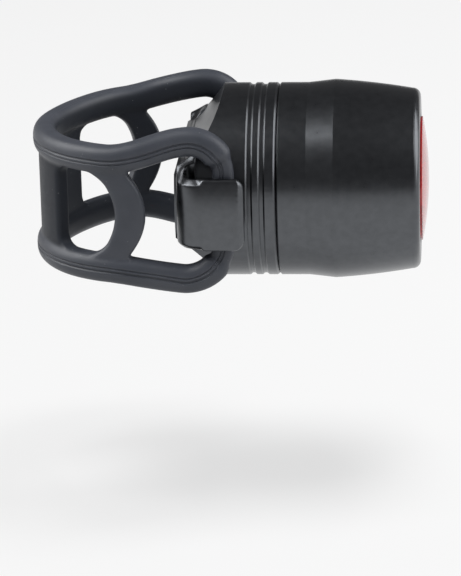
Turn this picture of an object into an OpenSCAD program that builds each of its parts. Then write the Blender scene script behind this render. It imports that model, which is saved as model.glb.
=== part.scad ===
// Strap-on bicycle rear light: a turned metal head screwed on a base cap with two strap hooks.
// Origin at the middle of the rear face, +X along the beam towards the lens, +Z up the post.

/* [Body] */
// Outer diameter of the base cap and of the head's rear half: 27 takes coin cells of 20
body_d = 27; // [24:0.1:30]
// Length of the base cap, from the rear face to the parting line
base_len = 13.9; // [12.6:0.1:16]
// Width of the fine parting line between the base cap and the head
parting_gap = 0.1; // [0.05:0.01:0.3]
// Bevel on both edges of the parting line
parting_bevel = 0.16; // [0.05:0.01:0.3]
// Height of the flat rear face
rear_face_h = 9.2; // [7:0.1:11]
// Distance of the rear facets' outer ends from the rear face
facet_len = 6.3; // [5.5:0.1:7.2]
// Radius of the hollow in the rear facets
facet_r = 19; // [14:0.5:40]
// Radius of the post that the rear saddle follows
post_r = 16; // [12:0.5:20]
// Depth of the saddle in the rear face
saddle_depth = 0.8; // [0.2:0.1:1.2]
// Distance of the first grip groove from the rear face
groove_x = 9.85; // [9:0.05:10.2]
// Spacing of the two grip grooves
groove_pitch = 1.7; // [1.4:0.05:1.8]
// Width of a grip groove
groove_w = 0.72; // [0.4:0.02:0.9]
// Depth of a grip groove
groove_depth = 0.25; // [0.1:0.01:0.5]

/* [Head] */
// Length of the head, from the parting line to the front face
head_len = 19.7; // [19.2:0.1:24]
// Distance of the flare's start from the parting line
flare_from = 4.1; // [3:0.1:6]
// Distance of the flare's peak from the parting line
flare_to = 7.85; // [7:0.1:10]
// Diameter at the flare's peak
flare_d = 27.85; // [27:0.05:30]
// Diameter of the nose where its front edge starts to round
nose_d = 25.3; // [24.6:0.1:26.6]
// Bulge of the tapered nose beyond a straight cone
nose_bulge = 0.14; // [0.02:0.02:0.4]
// Radius of the front edge
nose_round = 1.1; // [0.4:0.1:1.5]
// Thickness of the front wall round the lens
front_wall = 2; // [1.4:0.1:2.6]
// Bevel at the edge of the lens opening
mouth_bevel = 0.3; // [0.1:0.05:0.5]

/* [Hooks] */
// Width of the slot between the body and a hook's plate
slot_w = 2.7; // [2.5:0.05:3.4]
// Thickness of a hook's plate at its middle
plate_t = 1.7; // [1.4:0.1:2.2]
// Height of a hook's plate
plate_h = 10.3; // [7:0.1:11.5]
// Height of a hook's root beside the body
root_h = 13.2; // [12:0.1:14.6]
// Distance inside the body's side where the root's slopes start
root_inset = 0.8; // [0:0.1:1.2]
// Height of the bend's outside, below its bevels
bend_h = 8.2; // [6.6:0.1:10]
// Rise of the bend's bevels for each unit inwards
bend_rise = 1.5; // [0.8:0.05:2]
// Distance of the plate's free edge from the rear face
hook_len = 9.8; // [9:0.1:12]
// Distance of the bend's outside from the rear face
bend_x = 0.4; // [0.2:0.1:0.8]
// Outer radius of the bend
bend_r = 3.5; // [2.9:0.1:3.8]
// Thickness of the bend behind the slot
bend_wall = 1.3; // [1:0.1:1.8]
// Bevel round the plate's outer face
plate_bevel = 0.7; // [0.2:0.05:1]
// Radius of the plate's free corners
plate_corner = 1.6; // [1:0.1:2.2]

/* [Strap] */
// Reach of the strap's centreline behind the rear face
loop_reach = 18.5; // [16:0.1:26]
// Bow of the strap's centreline on the -Y side
bow_near = 16.2; // [15:0.1:19]
// Bow of the strap's centreline on the +Y side
bow_far = 14.1; // [13:0.1:18]
// Height of a rail's centreline above the middle, round the loop
rail_z = 7.8; // [6:0.1:9]
// Height of a rail's centreline above the middle, beside a hook
rail_end_z = 9.9; // [9.2:0.1:11]
// Height of a rail's bead
rail_h = 4; // [2.6:0.1:4.4]
// Thickness of a rail's bead
rail_t = 3.4; // [2.4:0.1:3.6]
// Width of the end rung that sits in a hook
end_rung_w = 3; // [2:0.1:3.4]
// Clearance on each side of the end rung in its slot
end_rung_gap = 0.25; // [0.15:0.05:0.4]
// Distance of the end rung's middle from the rear face
end_rung_x = 6.9; // [6.3:0.1:8.4]
// Height up to which the strap's end keeps the end rung's section
end_thin = 6.8; // [5:0.1:7]
// Height over which the section then grows to the rail's
end_grow = 1; // [0.8:0.1:2]
// Radius of the upper corners at the strap's ends, along the bead's middle
end_corner = 4.6; // [3.5:0.1:5.2]
// Radius of the lower corners at the strap's ends, along the bead's middle
low_corner = 5.5; // [3.5:0.1:7]
// Distance of the ladder rungs from the strap's ends, along the strap
ladder_at = 16.9; // [14:0.1:18]
// Width of a ladder rung at its middle
ladder_w = 4.1; // [2.6:0.1:4.6]
// Thickness of a ladder rung
ladder_t = 2.5; // [1.8:0.1:3]
// Radius of a ladder rung's fillets towards the loop
ladder_fillet = 2.2; // [0.5:0.1:2.6]
// Radius of a ladder rung's fillets towards the hook
hook_fillet = 0.9; // [0.4:0.1:1.6]
// Bulge of a ladder rung towards its hook
ladder_bulge = 4; // [0:0.1:4.5]
// Distance of the middle band from the strap's -Y end, along the strap
band_near_at = 23.9; // [22.5:0.1:26.5]
// Distance of the middle band from the strap's +Y end, along the strap
band_far_at = 25.7; // [22.5:0.1:26.5]
// Thickness of the middle band
band_t = 2; // [1.4:0.1:2.8]

/* [Cells and contacts] */
// Thickness of a coin cell
cell_t = 3.2; // [2.4:0.1:3.4]
// Radial gap round the cells
cell_gap = 0.06; // [0.03:0.01:0.1]
// Wall of the battery sleeve
sleeve_wall = 0.44; // [0.3:0.02:0.5]
// Radial gap round the battery sleeve
sleeve_gap = 0.05; // [0.03:0.01:0.1]
// Thickness of the base cap's floor, from the rear face
floor_t = 6.5; // [5.8:0.1:7]
// Free height of the rear contact
contact_h = 1.8; // [1.2:0.1:2.2]
// Thickness of the contact's sheet
contact_sheet = 0.25; // [0.15:0.05:0.4]
// Wire diameter of the contact spring
spring_wire = 0.5; // [0.4:0.05:0.6]
// Mean coil radius of the contact spring
spring_r = 2.6; // [2:0.1:3.4]
// Turns of the contact spring
spring_turns = 4; // [3:1:4]

/* [Thread and seal] */
// Length of the base cap's threaded spigot
spigot_len = 4.6; // [4.2:0.1:5.4]
// Wall of the spigot
spigot_wall = 1.2; // [0.9:0.05:1.3]
// Radial gap between spigot and head
thread_gap = 0.05; // [0.03:0.01:0.08]
// Depth of the thread's root below the spigot's land
thread_depth = 0.35; // [0.2:0.05:0.5]
// Length of the plain land under the O-ring
land_len = 1; // [0.8:0.1:1.4]
// Bevel at the spigot's end
spigot_bevel = 0.4; // [0.2:0.05:0.6]
// Wall of the head round the O-ring's seat
seat_wall = 0.9; // [0.6:0.05:1.2]
// Section diameter of the body's O-ring
o_ring_d = 0.72; // [0.5:0.02:0.76]
// Gap between the O-ring and its seat
o_ring_gap = 0.04; // [0.02:0.01:0.08]

/* [Board] */
// Thickness of the board
board_t = 1.2; // [0.8:0.1:1.6]
// Radial gap round the board
board_gap = 0.08; // [0.04:0.01:0.12]
// Width of the shoulder that the board sits against
shoulder_w = 0.7; // [0.4:0.05:0.9]
// Height of the board's retaining ring
ring_h = 0.85; // [0.6:0.05:1.2]
// Radial width of the retaining ring
ring_w = 1; // [0.7:0.1:1.4]
// Gap between the spigot's end and the retaining ring
ring_gap = 0.2; // [0.1:0.05:0.4]
// Side of the switch's square case
switch_w = 6; // [5:0.1:6.2]
// Height of the switch's case
switch_h = 3.5; // [3:0.1:4.2]
// Radius of the switch's plunger
plunger_r = 1.7; // [1.2:0.1:2]
// Height of the plunger above the case
plunger_h = 1.3; // [0.9:0.1:1.8]
// Distance of the lamps from the axis
lamp_y = 6.3; // [6.2:0.1:6.5]
// Height of the reflector above the board
reflector_h = 6.2; // [4.6:0.1:7]
// Radial gap round the reflector
reflector_gap = 0.2; // [0.1:0.05:0.4]
// Gap between the reflector and the pieces in its pockets
pocket_gap = 0.2; // [0.1:0.05:0.3]
// Length of the controller
chip_l = 5; // [3:0.1:6]
// Width of the controller
chip_w = 4; // [3:0.1:4.6]
// Height of the controller
chip_h = 1.5; // [0.8:0.1:1.8]
// Length of a capacitor
cap_l = 2; // [1:0.1:2.6]
// Width of a capacitor
cap_w = 1.2; // [0.5:0.1:1.6]
// Height of a capacitor
cap_h = 0.8; // [0.4:0.1:1]
// Spacing of the capacitors
cap_pitch = 2.4; // [2:0.1:3]
// Gap between the spring and the pieces beside it
spring_room = 0.4; // [0.2:0.1:0.8]
// Size of a lamp's package across the board
lamp_w = 3.2; // [2.6:0.1:3.4]
// Height of a lamp's package
lamp_h = 1.9; // [1.4:0.1:2.2]

/* [Lens] */
// Diameter of the lens in the front opening
lens_d = 17.4; // [16:0.1:18]
// Radial gap round the lens
lens_gap = 0.15; // [0.1:0.01:0.25]
// Step of the lens's rim in front of the front face
lens_proud = 0.3; // [0.1:0.05:0.6]
// Height of the lens's dome
dome_h = 0.85; // [0.4:0.05:1.4]
// Wall of the lens
lens_wall = 1.3; // [1:0.1:1.8]
// Radial width of the flange that holds the lens in the head
flange_w = 1.1; // [0.8:0.1:1.4]
// Radial gap round the flange
flange_gap = 0.2; // [0.1:0.02:0.4]
// Thickness of the flange
flange_t = 1.3; // [0.9:0.1:1.6]
// Thickness of the flat seal behind the front wall
seal_t = 0.4; // [0.2:0.05:0.6]
// Radial gap round the flat seal
seal_gap = 0.1; // [0.05:0.01:0.2]
// Press travel of the lens
press_travel = 0.5; // [0.3:0.05:0.7]
// Radius of the stem that presses the switch
stem_r = 1.6; // [1:0.1:2]
// Gap between pieces that only touch
touch_gap = 0.03; // [0.01:0.01:0.05]

/* [Hidden] */
$fn = 96;

anodised = "#26282b";
silicone = "#3a3e46";

// Radii, from the body's outside in to the cells
body_r = body_d / 2;
seal_seat_r = body_r - seat_wall;
socket_r = seal_seat_r - o_ring_d - 2 * o_ring_gap;
spigot_r = socket_r - thread_gap;
cavity_r = spigot_r - spigot_wall;
sleeve_out = cavity_r - sleeve_gap;
sleeve_in = sleeve_out - sleeve_wall;
cell_r = sleeve_in - cell_gap;

// Radii, from the lens outwards
lens_r = lens_d / 2;
mouth_r = lens_r + lens_gap;
flange_r = lens_r + flange_w;
lens_cavity_r = flange_r + flange_gap;
board_bore_r = lens_cavity_r + shoulder_w;
board_r = board_bore_r - board_gap;

// Places along the axis, from the rear face
cells_x = floor_t + contact_h;
cells_end = cells_x + 2 * cell_t;
head_x = base_len + parting_gap;
spigot_end = base_len + spigot_len;
land_end = base_len + land_len;
thread_r = spigot_r - thread_depth;
ring_x = spigot_end + ring_gap;
board_x = ring_x + ring_h + touch_gap;
board_front = board_x + board_t;
front_x = base_len + head_len;
front_wall_x = front_x - front_wall;
flange_x = front_wall_x - seal_t - 2 * touch_gap - flange_t;
seal_seat_len = o_ring_d + 2 * o_ring_gap;

// Rear facets and hooks
facet_chord = [facet_len, body_r - rear_face_h / 2];
facet_side = [-facet_chord[1], facet_chord[0]] / norm(facet_chord);
facet_reach = sqrt(facet_r * facet_r - facet_chord * facet_chord / 4);
facet_centre = [0, rear_face_h / 2] + facet_chord / 2 + facet_side * facet_reach;
slot_out = body_r + slot_w;
plate_out = slot_out + plate_t;
slot_mid = body_r + slot_w / 2;
bend_y = plate_out - bend_r;
hook_inset = 3;
slot_end_mid = bend_x + bend_wall + slot_w / 2;

// Points on an arc, for outlines
function arc(c, r, from, to, steps) =
    [for (i = [0 : steps]) let (a = from + (to - from) * i / steps) c + r * [cos(a), sin(a)]];

// A smooth step from 0 to 1
function ease(t) = let (k = min(1, max(0, t))) k * k * (3 - 2 * k);

// Turned piece on the X axis, from an outline of [radius, x] points
module turned(outline) {
    rotate([0, 90, 0])
        rotate_extrude()
            polygon(outline);
}

// Cylinder on the X axis
module bar_x(r, from, to) {
    translate([from, 0, 0])
        rotate([0, 90, 0])
            cylinder(r = r, h = to - from);
}

// Tube on the X axis
module tube_x(r_out, r_in, from, to) {
    turned([[r_in, from], [r_out, from], [r_out, to], [r_in, to]]);
}

// Outline in the X-Z plane, extruded across Y
module across_y(width) {
    rotate([90, 0, 0])
        linear_extrude(height = width, center = true)
            children();
}

// Everything between the two rear facets, which are ground hollow
module between_facets(length) {
    half = body_r + 1;
    across_y(4 * body_d)
        difference() {
            translate([0, -half])
                square([length, 2 * half]);
            for (s = [-1, 1])
                translate([facet_centre[0], s * facet_centre[1]])
                    circle(r = facet_r);
        }
}

// The base cap's turned outside, with its grip grooves
module base_turning() {
    difference() {
        turned([
            [0, 0], [body_r, 0], [body_r, base_len - parting_bevel],
            [body_r - parting_bevel, base_len], [spigot_r, base_len],
            [spigot_r, land_end], [thread_r, land_end + thread_depth],
            [thread_r, spigot_end - spigot_bevel], [thread_r - spigot_bevel, spigot_end], [0, spigot_end]
        ]);
        for (x = [groove_x, groove_x + groove_pitch])
            turned([
                [body_r - groove_depth, x + groove_depth / 2], [body_r + 1, x - 0.3],
                [body_r + 1, x + groove_w + 0.3], [body_r - groove_depth, x + groove_w - groove_depth / 2]
            ]);
    }
}

// A hook seen from above, on the +Y side
module hook_plan() {
    in_y = body_r - hook_inset;
    difference() {
        union() {
            polygon([
                [0, in_y], [0, body_r - 1.5], [bend_x, bend_y],
                [slot_end_mid, bend_y], [slot_end_mid, in_y]
            ]);
            intersection() {
                translate([bend_x + bend_r, bend_y])
                    circle(r = bend_r);
                translate([bend_x, bend_y])
                    square(bend_r);
            }
            polygon([
                [bend_x + bend_r, bend_y], [bend_x + bend_r, plate_out],
                [hook_len, plate_out], [hook_len, bend_y]
            ]);
        }
        translate([slot_end_mid, slot_mid])
            circle(r = slot_w / 2);
        translate([slot_end_mid, body_r])
            square([2 * hook_len, slot_w]);
    }
}

// A hook's outline seen along the axis: tall at its root and lower at its plate
module hook_height() {
    in_y = body_r - hook_inset;
    bevel_z = plate_h / 2 - plate_bevel;
    bevel_y = sqrt(plate_out * plate_out - bevel_z * bevel_z);
    for (s = [-1, 1])
        polygon([
            [in_y, 0], [bevel_y + bevel_z, 0], [bevel_y - plate_bevel, s * plate_h / 2],
            [slot_out, s * plate_h / 2], [body_r - root_inset, s * root_h / 2], [in_y, s * root_h / 2]
        ]);
}

// The turned outside of the hooks, round the body's axis, with the bevel at their free edge
module hook_turning() {
    turned([
        [0, -1], [plate_out, -1], [plate_out, hook_len - plate_bevel],
        [plate_out - plate_bevel, hook_len], [0, hook_len]
    ]);
}

// What the bevels take from the top of the bend: a cone round its outside and a plane behind its root
module bend_bevel() {
    cone_h = bend_r * bend_rise;
    intersection() {
        translate([bend_x - 1, bend_y, 0])
            cube([bend_r + 1, bend_r + 1, root_h]);
        translate([bend_x + bend_r, bend_y, bend_h / 2])
            difference() {
                cylinder(r = 2 * bend_r, h = cone_h);
                cylinder(r1 = bend_r, r2 = 0, h = cone_h);
            }
    }
    translate([bend_x, bend_y / 2, bend_h / 2])
        across_y(bend_y)
            polygon([[-1, -bend_rise], [bend_r, cone_h], [-1, cone_h]]);
}

// What is taken from the plate's upper free corner to make it round, with the plate's bevel round it
module plate_corner_cut() {
    corner_z = plate_h / 2 - plate_corner;
    bevel_y = sqrt(pow(plate_out - plate_bevel, 2) - corner_z * corner_z);
    translate([hook_len - plate_corner, 0, corner_z])
        difference() {
            translate([0, slot_mid, 0])
                cube([2 * plate_corner, slot_w + plate_t, 2 * plate_corner]);
            rotate([-90, 0, 0]) {
                cylinder(r = plate_corner, h = bevel_y);
                translate([0, 0, bevel_y])
                    cylinder(r1 = plate_corner, r2 = 0, h = plate_corner);
            }
        }
}

// The hook on the +Y side
module hook() {
    difference() {
        intersection() {
            translate([0, 0, -root_h])
                linear_extrude(height = 2 * root_h)
                    hook_plan();
            rotate([90, 0, 90])
                linear_extrude(height = 2 * hook_len)
                    hook_height();
            between_facets(2 * hook_len);
            hook_turning();
        }
        for (m = [0, 1])
            mirror([0, 0, m]) {
                bend_bevel();
                plate_corner_cut();
            }
    }
}

module base_cap() {
    saddle_x = saddle_depth - post_r;
    color(anodised)
        difference() {
            union() {
                intersection() {
                    base_turning();
                    between_facets(spigot_end);
                }
                for (m = [0, 1])
                    mirror([0, m, 0])
                        hook();
            }
            bar_x(cavity_r, floor_t, spigot_end + 1);
            translate([saddle_x, 0, -body_d])
                cylinder(r = post_r, h = 2 * body_d);
        }
}

module battery_sleeve() {
    color("#e4e2da")
        tube_x(sleeve_out, sleeve_in, floor_t + touch_gap, cells_end + 0.6);
}

// Dished contact with three fingers cut from one sheet
module rear_contact() {
    foot = floor_t + touch_gap;
    top = cells_x - touch_gap;
    foot_r = 8;
    bend_at = 6.4;
    tip_r = 3;
    color("#c9b46a")
        difference() {
            turned([
                [1.2, top - contact_sheet], [tip_r, top - contact_sheet], [bend_at, foot],
                [foot_r, foot], [foot_r, foot + contact_sheet], [bend_at, foot + contact_sheet],
                [tip_r, top], [1.2, top]
            ]);
            for (a = [30, 150, 270])
                rotate([a, 0, 0])
                    translate([foot - 1, -0.6, 0])
                        cube([contact_h + 2, 1.2, bend_at]);
        }
}

// One coin cell's can: a cup with a rolled rim, its flat face towards +X
module cell_can(x) {
    wall = 0.25;
    rim = 0.5;
    color("#b9bcc0")
        turned([
            [0, x + cell_t - wall], [cell_r - wall, x + cell_t - wall], [cell_r - wall, x + rim],
            [cell_r - rim, x + 0.3], [cell_r - rim, x + 0.1], [cell_r - wall, x + 0.1],
            [cell_r, x + rim], [cell_r, x + cell_t - wall],
            [cell_r - wall, x + cell_t - touch_gap], [0, x + cell_t - touch_gap]
        ]);
}

// One coin cell's cap: a stepped lid that closes the can on the -X side
module cell_cap(x) {
    step_r = cell_r - 1.5;
    lid_r = cell_r - 1.05;
    color("#c6c8cb")
        turned([
            [0, x + touch_gap], [step_r, x + touch_gap], [lid_r, x + 0.5],
            [lid_r, x + cell_t - 0.5], [0, x + cell_t - 0.5]
        ]);
}

// One coin cell's gasket, between its cap and its can
module cell_gasket(x) {
    color("#3d4b5c")
        tube_x(cell_r - 0.55, cell_r - 1.05 + touch_gap, x + 0.35, x + cell_t - 0.28);
}

module rear_cell_can() {
    cell_can(cells_x);
}

module rear_cell_cap() {
    cell_cap(cells_x);
}

module rear_cell_gasket() {
    cell_gasket(cells_x);
}

module front_cell_can() {
    cell_can(cells_x + cell_t);
}

module front_cell_cap() {
    cell_cap(cells_x + cell_t);
}

module front_cell_gasket() {
    cell_gasket(cells_x + cell_t);
}

module body_o_ring() {
    ring_r = socket_r + o_ring_gap + o_ring_d / 2;
    color("#171717")
        translate([head_x + seal_seat_len / 2, 0, 0])
            rotate([0, 90, 0])
                rotate_extrude()
                    translate([ring_r, 0])
                        circle(d = o_ring_d, $fn = 32);
}

// The nose's outside: a shallow arc from the flare's peak to the rounded front edge
function nose_arc(steps) =
    let (
        a = [flare_d / 2, base_len + flare_to],
        b = [nose_d / 2, front_x - nose_round],
        side = [b[1] - a[1], a[0] - b[0]] / norm(b - a)
    )
    [for (i = [0 : steps]) let (t = i / steps) a + (b - a) * t + side * nose_bulge * 4 * t * (1 - t)];

module head_shell() {
    edge = arc([nose_d / 2 - nose_round, front_x - nose_round], nose_round, 0, 90, 8);
    color(anodised)
        turned(concat(
            [
                [seal_seat_r, head_x], [body_r - parting_bevel, head_x],
                [body_r, head_x + parting_bevel], [body_r, base_len + flare_from]
            ],
            nose_arc(14),
            [for (i = [1 : len(edge) - 1]) edge[i]],
            [
                [mouth_r + mouth_bevel, front_x], [mouth_r, front_x - mouth_bevel], [mouth_r, front_wall_x],
                [lens_cavity_r, front_wall_x], [lens_cavity_r, board_front],
                [board_bore_r, board_front], [board_bore_r, ring_x - ring_gap / 2],
                [socket_r, ring_x - ring_gap / 2], [socket_r, head_x + seal_seat_len],
                [seal_seat_r, head_x + seal_seat_len]
            ]
        ));
}

// Retaining ring with two spanner notches
module board_ring() {
    color("#8d9094")
        difference() {
            tube_x(board_r, board_r - ring_w, ring_x, ring_x + ring_h);
            for (a = [0, 180])
                rotate([a, 0, 0])
                    translate([ring_x - 1, board_r - ring_w - 1, -0.8])
                        cube([1 + ring_h / 2, ring_w + 2, 1.6]);
        }
}

module circuit_board() {
    color("#1f5b3a")
        bar_x(board_r, board_x, board_front - touch_gap);
}

// Points of the contact spring's wire, from the board back to the front cell
spring_from = board_x - spring_wire / 2 - touch_gap;
spring_to = cells_end + spring_wire / 2 + touch_gap;
spring_segments = 16;
function spring_at(t) =
    let (a = 360 * spring_turns * t)
    [spring_from + (spring_to - spring_from) * t, spring_r * cos(a), spring_r * sin(a)];

// Faces of an open tube of rings, closed by fans at both ends
function tube_faces(rings, sides) = concat(
    [for (i = [0 : rings - 2], k = [0 : sides - 1])
        each let (a = i * sides + k, b = i * sides + (k + 1) % sides)
            [[b, a, a + sides], [b + sides, b, a + sides]]],
    [for (k = [1 : sides - 2]) [0, k, k + 1]],
    [for (k = [1 : sides - 2]) let (e = (rings - 1) * sides) [e, e + k + 1, e + k]]
);

// Faces of a tube of rings that closes on itself
function loop_faces(rings, sides) = [
    for (i = [0 : rings - 1], k = [0 : sides - 1])
        each let (
            a = i * sides + k,
            b = i * sides + (k + 1) % sides,
            c = ((i + 1) % rings) * sides + k,
            d = ((i + 1) % rings) * sides + (k + 1) % sides
        )
            [[b, a, c], [d, b, c]]
];

module contact_spring() {
    sides = 8;
    rings = spring_turns * spring_segments + 1;
    pts = [
        for (i = [0 : rings - 1])
            let (
                t = i / (rings - 1),
                p = spring_at(t),
                out = [0, p[1], p[2]] / spring_r,
                lean = (spring_to - spring_from) / spring_turns / (2 * PI * spring_r),
                along = [lean, -out[2], out[1]] / norm([lean, 1]),
                up = cross(along, out)
            )
            for (k = [0 : sides - 1])
                let (a = 360 * k / sides)
                p + spring_wire / 2 * (cos(a) * out + sin(a) * up)
    ];
    color("#c9b46a")
        polyhedron(pts, tube_faces(rings, sides), convexity = 8);
}

module switch_case() {
    color("#2a2a2c")
        difference() {
            translate([board_front, -switch_w / 2, -switch_w / 2])
                cube([switch_h, switch_w, switch_w]);
            bar_x(plunger_r + touch_gap, board_front + switch_h - plunger_h, board_front + switch_h + 1);
        }
}

// The plunger reaches down into its case by its travel and a little more
module switch_plunger() {
    top = board_front + switch_h + plunger_h;
    foot = board_front + switch_h - plunger_h + press_travel + 0.1;
    color("#b8322a")
        turned([[0, foot], [plunger_r, foot], [plunger_r, top - 0.3], [plunger_r - 0.3, top], [0, top]]);
}

module led_packages() {
    dome_r = lamp_w * 0.4;
    color("#f1efe6")
        for (s = [-1, 1]) {
            translate([board_front, s * lamp_y - lamp_w / 2, -lamp_w / 2])
                cube([lamp_h * 0.6, lamp_w, lamp_w]);
            translate([0, s * lamp_y, 0])
                bar_x(dome_r, board_front + lamp_h * 0.5, board_front + lamp_h);
        }
}

// Controller on the board's rear, above the spring
module driver_chip() {
    color("#202124")
        translate([board_x - chip_h - touch_gap, -chip_l / 2, spring_r + spring_wire + spring_room])
            cube([chip_h, chip_l, chip_w]);
}

// Passive pieces in a row on the board's rear, below the spring
module chip_capacitors() {
    top = -spring_r - spring_wire - spring_room;
    color("#b79a72")
        for (i = [-1 : 1])
            translate([board_x - cap_h - touch_gap, i * cap_pitch - cap_w / 2, top - cap_l])
                cube([cap_h, cap_w, cap_l]);
}

// White tray with a cup round each lamp and a pocket for the switch
module reflector() {
    foot = board_front + touch_gap;
    out_r = lens_cavity_r - reflector_gap;
    cup_foot = lamp_w / 2 * sqrt(2) + pocket_gap;
    rim = board_front + reflector_h;
    cup_rim = out_r - 2 * pocket_gap - lamp_y;
    throat = board_front + lamp_h + pocket_gap;
    pocket = switch_w + 2 * pocket_gap;
    color("#efeee9")
        difference() {
            bar_x(out_r, foot, rim);
            for (s = [-1, 1])
                translate([0, s * lamp_y, 0]) {
                    bar_x(cup_foot, foot - 1, throat);
                    translate([throat - 0.01, 0, 0])
                        rotate([0, 90, 0])
                            cylinder(r1 = cup_foot, r2 = cup_rim, h = rim - throat + 0.02);
                }
            translate([foot - 1, -pocket / 2, -pocket / 2])
                cube([switch_h + 1 + 2 * pocket_gap, pocket, pocket]);
            bar_x(max(stem_r, plunger_r) + 2 * pocket_gap, foot, rim + 1);
        }
}

module lens_seal() {
    color("#171717")
        tube_x(
            lens_cavity_r - seal_gap, mouth_r,
            front_wall_x - seal_t - touch_gap, front_wall_x - touch_gap
        );
}

// Domed lens with a flange behind the front wall and a stem on the switch's plunger
module push_lens() {
    r = lens_r;
    rim_x = front_x + lens_proud;
    dome_r = (r * r + dome_h * dome_h) / (2 * dome_h);
    c = [0, rim_x + dome_h - dome_r];
    half = asin(r / dome_r);
    inner_r = r - lens_wall;
    inner_half = asin(inner_r / (dome_r - lens_wall));
    stem_half = asin(stem_r / (dome_r - lens_wall));
    stem_x = board_front + switch_h + plunger_h + touch_gap;
    color("#b3161a", 0.8)
        turned(concat(
            [[0, stem_x], [stem_r, stem_x]],
            arc(c, dome_r - lens_wall, 90 - stem_half, 90 - inner_half, 6),
            [
                [inner_r, flange_x], [flange_r, flange_x], [flange_r, flange_x + flange_t],
                [r, flange_x + flange_t]
            ],
            arc(c, dome_r, 90 - half, 90, 10)
        ));
}

// The strap's centreline seen from above, from the +Y hook round the loop to the -Y hook
strap_plan = [
    [end_rung_x, slot_mid],
    [0.5, slot_mid - 0.7],
    [-0.30 * loop_reach, bow_far],
    [-0.60 * loop_reach, 0.81 * bow_far],
    [-0.83 * loop_reach, 0.44 * bow_far],
    [-0.98 * loop_reach, 0],
    [-loop_reach, -0.31 * bow_near],
    [-0.91 * loop_reach, -0.60 * bow_near],
    [-0.74 * loop_reach, -0.83 * bow_near],
    [-0.50 * loop_reach, -0.98 * bow_near],
    [-0.28 * loop_reach, -bow_near],
    [0.5, -slot_mid],
    [end_rung_x, -slot_mid]
];

// Smooth curve through the points of a list, at step t past point i
function curve_at(p, i, t) =
    let (
        n = len(p) - 1,
        a = i > 0 ? p[i - 1] : 2 * p[0] - p[1],
        b = p[i],
        c = p[i + 1],
        d = i + 1 < n ? p[i + 2] : 2 * p[n] - p[n - 1]
    )
    (2 * b + (c - a) * t + (2 * a - 5 * b + 4 * c - d) * t * t + (3 * b - a - 3 * c + d) * t * t * t) / 2;

// The centreline in fine steps, with the length run so far at each step
curve_steps = 8;
strap_line = [
    for (i = [0 : len(strap_plan) - 2], k = [0 : curve_steps - 1]) curve_at(strap_plan, i, k / curve_steps),
    strap_plan[len(strap_plan) - 1]
];
strap_run = [
    for (i = 0, run = 0; i < len(strap_line);
         run = run + (i + 1 < len(strap_line) ? norm(strap_line[i + 1] - strap_line[i]) : 0), i = i + 1) run
];
strap_len = strap_run[len(strap_run) - 1];
strap_xs = [for (i = [0 : len(strap_line) - 1]) [strap_run[i], strap_line[i][0]]];
strap_ys = [for (i = [0 : len(strap_line) - 1]) [strap_run[i], strap_line[i][1]]];

// A point of the strap's middle surface, at a run along the strap and a height
function strap_point(s, z) = [lookup(s, strap_xs), lookup(s, strap_ys), z];

// The strap's inward normal at a run along it
function strap_normal(s) =
    let (
        e = 0.6,
        d = strap_point(min(strap_len, s + e), 0) - strap_point(max(0, s - e), 0)
    )
    [-d[1], d[0], 0] / norm(d);

// Height of the rails at a run along the strap: higher beside the hooks than round the loop
rail_ramp = [4.1, 16.3];
function rail_height(s) =
    let (from_end = min(s, strap_len - s))
    rail_z + (rail_end_z - rail_z) * ease((rail_ramp[1] - from_end) / (rail_ramp[1] - rail_ramp[0]));

// The bead's closed route on the strap's surface, as [run, height] points
rail_steps = 42;
corner_steps = 6;
function rail_route(corner) = [
    for (i = [1 : rail_steps - 1])
        let (s = corner + (strap_len - 2 * corner) * i / rail_steps) [s, rail_height(s)]
];
top_route = rail_route(end_corner);
low_route = rail_route(low_corner);
near_end = concat(
    arc([strap_len - end_corner, rail_height(end_corner) - end_corner], end_corner, 90, 0, corner_steps),
    [[strap_len, 0]],
    arc([strap_len - low_corner, low_corner - rail_height(low_corner)], low_corner, 0, -90, corner_steps)
);
bottom_route = [for (i = [len(low_route) - 1 : -1 : 0]) [low_route[i][0], -low_route[i][1]]];
far_end = [for (i = [len(near_end) - 1 : -1 : 0]) [strap_len - near_end[i][0], near_end[i][1]]];
bead_route = concat(top_route, near_end, bottom_route, far_end);

// A wave squared off by a power below 1
function squared(w, power) = sign(w) * pow(abs(w), power);

// One oval ring of a bead: across the strap's thickness, and across the bead in its surface
function bead_ring(route, i, thick, wide, power, sides, closed) =
    let (
        n = len(route),
        before = closed ? route[(i + n - 1) % n] : route[max(0, i - 1)],
        after = closed ? route[(i + 1) % n] : route[min(n - 1, i + 1)],
        p = strap_point(route[i][0], route[i][1]),
        along = strap_point(after[0], after[1]) - strap_point(before[0], before[1]),
        flat = strap_normal(route[i][0]),
        side = cross(along, flat) / norm(cross(along, flat))
    )
    [for (k = [0 : sides - 1])
        let (a = 360 * k / sides)
        p + thick / 2 * squared(cos(a), power) * flat + wide / 2 * squared(sin(a), power) * side];

bead_sides = 12;
rail_power = 0.8;
end_rung_t = slot_w - 2 * end_rung_gap;

// How full the bead is at a point: 0 on the end rung in its slot, 1 on the rail
function bead_fullness(p) = ease((abs(p[1]) - end_thin) / end_grow);

// How much a fillet widens a rung at a gap from the rail that it runs into
function widening(gap, r) = let (k = min(1, max(0, 1 - gap / r))) r * (1 - sqrt(1 - k * k));

// Half of a ladder rung's width on one side, at a height and a run of that side's edge
function rung_half(edge, z, r) = ladder_w / 2 + widening(rail_height(edge) - rail_h / 2 + rung_sink - abs(z), r);

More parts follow.
